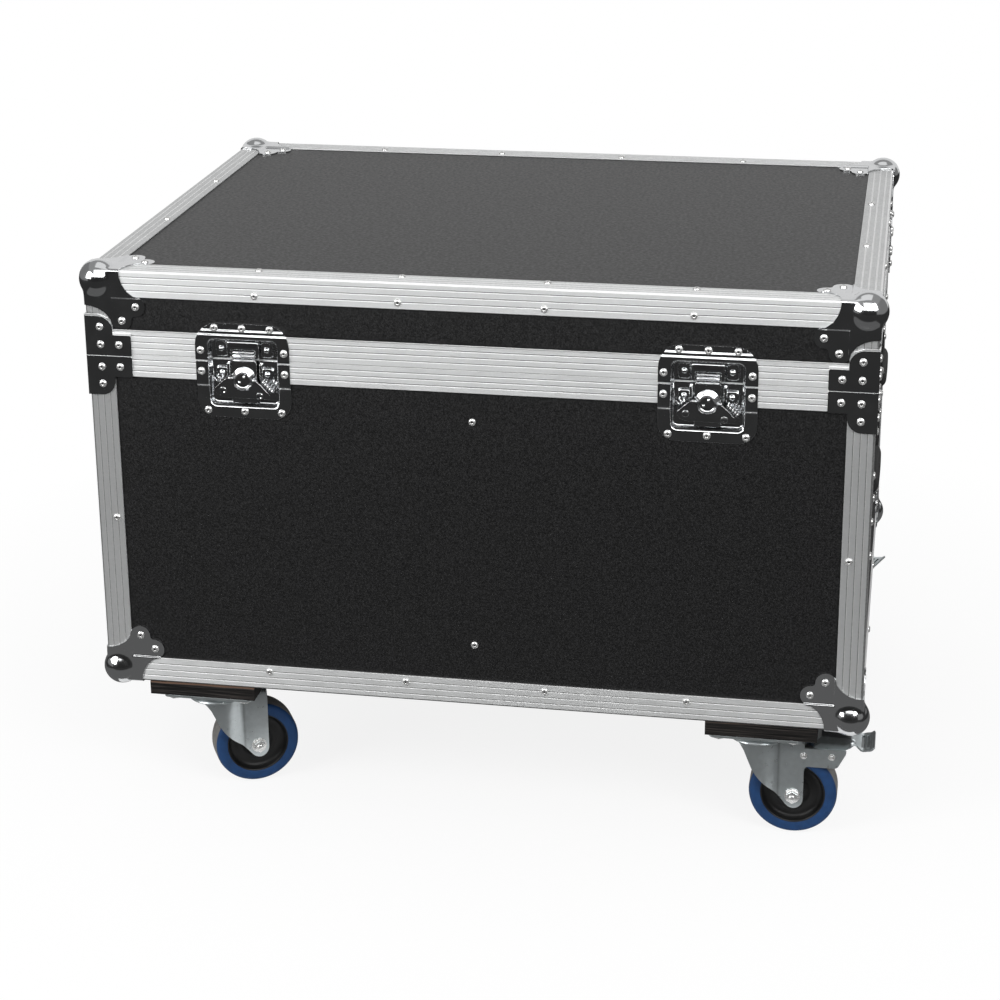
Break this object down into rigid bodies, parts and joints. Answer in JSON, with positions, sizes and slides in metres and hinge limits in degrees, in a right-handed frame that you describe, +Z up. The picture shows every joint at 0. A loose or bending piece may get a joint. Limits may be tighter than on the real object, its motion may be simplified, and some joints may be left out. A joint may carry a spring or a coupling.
{
  "type": "lighting flight case",
  "caption": "Wheeled flight case: laminated ply box with aluminium edges, ball corners, lift-off lid with butterfly latches, side handles and swivel castors.",
  "frame": {"origin": "on the ground, under the middle of the case", "axes": "+Z up, -Y towards the front, +X along the width to the right of someone facing the front"},
  "size_m": [0.8895, 0.677, 0.6465],
  "materials": {
    "laminate": "black fine-grained laminate on plywood",
    "extrusion": "satin anodised, ribbed",
    "chrome": "bright plated steel",
    "zinc": "zinc-plated pressed steel",
    "black_steel": "satin black coated steel",
    "grip_rubber": "matt black moulded grip",
    "tyre": "blue elastic rubber on a black plastic hub",
    "hub_plastic": "black moulded nylon",
    "board": "black-painted plywood with a worn edge"
  },
  "bodies": {
    "base": {"base_floor_panel": "laminate", "base_walls": "laminate", "base_edge_frame": "extrusion", "base_groove_frame": "extrusion", "base_ball_corner_back_right": "chrome", "base_ball_corner_back_left": "chrome", "base_ball_corner_front_left": "chrome", "base_ball_corner_front_right": "chrome", "latch_dish_front_left": "chrome", "latch_dish_front_right": "chrome", "latch_dish_back_left": "chrome", "latch_dish_back_right": "chrome", "handle_dish_right_front": "black_steel", "handle_dish_right_back": "black_steel", "handle_dish_left_front": "black_steel", "handle_dish_left_back": "black_steel", "castor_board_left": "board", "castor_board_right": "board", "castor_plate_back_right": "zinc", "castor_plate_back_left": "zinc", "castor_plate_front_left": "zinc", "castor_plate_front_right": "zinc"},
    "lid": {"lid_top_panel": "laminate", "lid_walls": "laminate", "lid_edge_frame": "extrusion", "lid_tongue_frame": "extrusion", "lid_ball_corner_back_right": "chrome", "lid_ball_corner_back_left": "chrome", "lid_ball_corner_front_left": "chrome", "lid_ball_corner_front_right": "chrome", "latch_keeper_front_left": "chrome", "latch_keeper_front_right": "chrome", "latch_keeper_back_left": "chrome", "latch_keeper_back_right": "chrome"},
    "latch_hub_front_left": {"latch_hub_front_left": "chrome"},
    "latch_wing_front_left": {"latch_wing_front_left": "chrome"},
    "latch_hook_front_left": {"latch_hook_front_left": "chrome"},
    "latch_hub_front_right": {"latch_hub_front_right": "chrome"},
    "latch_wing_front_right": {"latch_wing_front_right": "chrome"},
    "latch_hook_front_right": {"latch_hook_front_right": "chrome"},
    "latch_hub_back_left": {"latch_hub_back_left": "chrome"},
    "latch_wing_back_left": {"latch_wing_back_left": "chrome"},
    "latch_hook_back_left": {"latch_hook_back_left": "chrome"},
    "latch_hub_back_right": {"latch_hub_back_right": "chrome"},
    "latch_wing_back_right": {"latch_wing_back_right": "chrome"},
    "latch_hook_back_right": {"latch_hook_back_right": "chrome"},
    "handle_bail_right_front": {"handle_bail_right_front": "grip_rubber"},
    "handle_bail_right_back": {"handle_bail_right_back": "grip_rubber"},
    "handle_bail_left_front": {"handle_bail_left_front": "grip_rubber"},
    "handle_bail_left_back": {"handle_bail_left_back": "grip_rubber"},
    "castor_fork_back_right": {"castor_fork_back_right": "zinc"},
    "castor_wheel_back_right": {"castor_wheel_back_right": "tyre"},
    "brake_pedal_back_right": {"brake_pedal_back_right": "zinc"},
    "castor_fork_back_left": {"castor_fork_back_left": "zinc"},
    "castor_wheel_back_left": {"castor_wheel_back_left": "tyre"},
    "castor_fork_front_left": {"castor_fork_front_left": "zinc"},
    "castor_wheel_front_left": {"castor_wheel_front_left": "tyre"},
    "castor_fork_front_right": {"castor_fork_front_right": "zinc"},
    "castor_wheel_front_right": {"castor_wheel_front_right": "tyre"},
    "brake_pedal_front_right": {"brake_pedal_front_right": "zinc"}
  },
  "joints": [
    {"name": "lid_lift", "type": "slide", "parent": "base", "child": "lid", "axis": [0, 0, 1], "range_m": [0, 0.3]},
    {"name": "latch_turn_front_left", "type": "hinge", "parent": "base", "child": "latch_hub_front_left", "pos_m": [-0.256, -0.332, 0.5236], "axis": [0, -1, 0], "range_deg": [0, 180]},
    {"name": "wing_fold_front_left", "type": "hinge", "parent": "latch_hub_front_left", "child": "latch_wing_front_left", "pos_m": [-0.256, -0.3346, 0.5236], "axis": [-1, 0, 0], "range_deg": [0, 90]},
    {"name": "hook_slide_front_left", "type": "slide", "parent": "base", "child": "latch_hook_front_left", "axis": [0, 0, 1], "range_m": [0, 0.005]},
    {"name": "latch_turn_front_right", "type": "hinge", "parent": "base", "child": "latch_hub_front_right", "pos_m": [0.256, -0.332, 0.5236], "axis": [0, -1, 0], "range_deg": [0, 180]},
    {"name": "wing_fold_front_right", "type": "hinge", "parent": "latch_hub_front_right", "child": "latch_wing_front_right", "pos_m": [0.256, -0.3346, 0.5236], "axis": [-1, 0, 0], "range_deg": [0, 90]},
    {"name": "hook_slide_front_right", "type": "slide", "parent": "base", "child": "latch_hook_front_right", "axis": [0, 0, 1], "range_m": [0, 0.005]},
    {"name": "latch_turn_back_left", "type": "hinge", "parent": "base", "child": "latch_hub_back_left", "pos_m": [-0.256, 0.332, 0.5236], "axis": [0, 1, 0], "range_deg": [0, 180]},
    {"name": "wing_fold_back_left", "type": "hinge", "parent": "latch_hub_back_left", "child": "latch_wing_back_left", "pos_m": [-0.256, 0.3346, 0.5236], "axis": [1, 0, 0], "range_deg": [0, 90]},
    {"name": "hook_slide_back_left", "type": "slide", "parent": "base", "child": "latch_hook_back_left", "axis": [0, 0, 1], "range_m": [0, 0.005]},
    {"name": "latch_turn_back_right", "type": "hinge", "parent": "base", "child": "latch_hub_back_right", "pos_m": [0.256, 0.332, 0.5236], "axis": [0, 1, 0], "range_deg": [0, 180]},
    {"name": "wing_fold_back_right", "type": "hinge", "parent": "latch_hub_back_right", "child": "latch_wing_back_right", "pos_m": [0.256, 0.3346, 0.5236], "axis": [1, 0, 0], "range_deg": [0, 90]},
    {"name": "hook_slide_back_right", "type": "slide", "parent": "base", "child": "latch_hook_back_right", "axis": [0, 0, 1], "range_m": [0, 0.005]},
    {"name": "handle_swing_right_front", "type": "hinge", "parent": "base", "child": "handle_bail_right_front", "pos_m": [0.4293, -0.19, 0.456], "axis": [0, -1, 0], "range_deg": [0, 90], "stiffness_Nm_per_rad": 0.3, "springref_deg": -17.19},
    {"name": "handle_swing_right_back", "type": "hinge", "parent": "base", "child": "handle_bail_right_back", "pos_m": [0.4293, 0.19, 0.456], "axis": [0, -1, 0], "range_deg": [0, 90], "stiffness_Nm_per_rad": 0.3, "springref_deg": -17.19},
    {"name": "handle_swing_left_front", "type": "hinge", "parent": "base", "child": "handle_bail_left_front", "pos_m": [-0.4293, -0.19, 0.456], "axis": [0, 1, 0], "range_deg": [0, 90], "stiffness_Nm_per_rad": 0.3, "springref_deg": -17.19},
    {"name": "handle_swing_left_back", "type": "hinge", "parent": "base", "child": "handle_bail_left_back", "pos_m": [-0.4293, 0.19, 0.456], "axis": [0, 1, 0], "range_deg": [0, 90], "stiffness_Nm_per_rad": 0.3, "springref_deg": -17.19},
    {"name": "castor_swivel_back_right", "type": "hinge", "parent": "base", "child": "castor_fork_back_right", "pos_m": [0.318, 0.286, 0.12], "axis": [0, 0, 1], "continuous": true},
    {"name": "wheel_roll_back_right", "type": "hinge", "parent": "castor_fork_back_right", "child": "castor_wheel_back_right", "pos_m": [0.35747, 0.27164, 0.05], "axis": [0.342, 0.9397, 0], "continuous": true},
    {"name": "brake_press_back_right", "type": "hinge", "parent": "castor_fork_back_right", "child": "brake_pedal_back_right", "pos_m": [0.39599, 0.25761, 0.106], "axis": [0.342, 0.9397, 0], "range_deg": [0, 12]},
    {"name": "castor_swivel_back_left", "type": "hinge", "parent": "base", "child": "castor_fork_back_left", "pos_m": [-0.318, 0.286, 0.12], "axis": [0, 0, 1], "continuous": true},
    {"name": "wheel_roll_back_left", "type": "hinge", "parent": "castor_fork_back_left", "child": "castor_wheel_back_left", "pos_m": [-0.27963, 0.26892, 0.05], "axis": [0.4067, 0.9135, 0], "continuous": true},
    {"name": "castor_swivel_front_left", "type": "hinge", "parent": "base", "child": "castor_fork_front_left", "pos_m": [-0.318, -0.286, 0.12], "axis": [0, 0, 1], "continuous": true},
    {"name": "wheel_roll_front_left", "type": "hinge", "parent": "castor_fork_front_left", "child": "castor_wheel_front_left", "pos_m": [-0.28092, -0.26628, 0.05], "axis": [-0.4695, 0.8829, 0], "continuous": true},
    {"name": "castor_swivel_front_right", "type": "hinge", "parent": "base", "child": "castor_fork_front_right", "pos_m": [0.318, -0.286, 0.12], "axis": [0, 0, 1], "continuous": true},
    {"name": "wheel_roll_front_right", "type": "hinge", "parent": "castor_fork_front_right", "child": "castor_wheel_front_right", "pos_m": [0.36, -0.286, 0.05], "axis": [0, 1, 0], "continuous": true},
    {"name": "brake_press_front_right", "type": "hinge", "parent": "castor_fork_front_right", "child": "brake_pedal_front_right", "pos_m": [0.401, -0.286, 0.106], "axis": [0, 1, 0], "range_deg": [0, 12]}
  ],
  "couplings": [
    {"joint": "hook_slide_front_left", "follows": "latch_turn_front_left", "m_per_rad": 0.00159},
    {"joint": "hook_slide_front_right", "follows": "latch_turn_front_right", "m_per_rad": 0.00159},
    {"joint": "hook_slide_back_left", "follows": "latch_turn_back_left", "m_per_rad": 0.00159},
    {"joint": "hook_slide_back_right", "follows": "latch_turn_back_right", "m_per_rad": 0.00159}
  ]
}
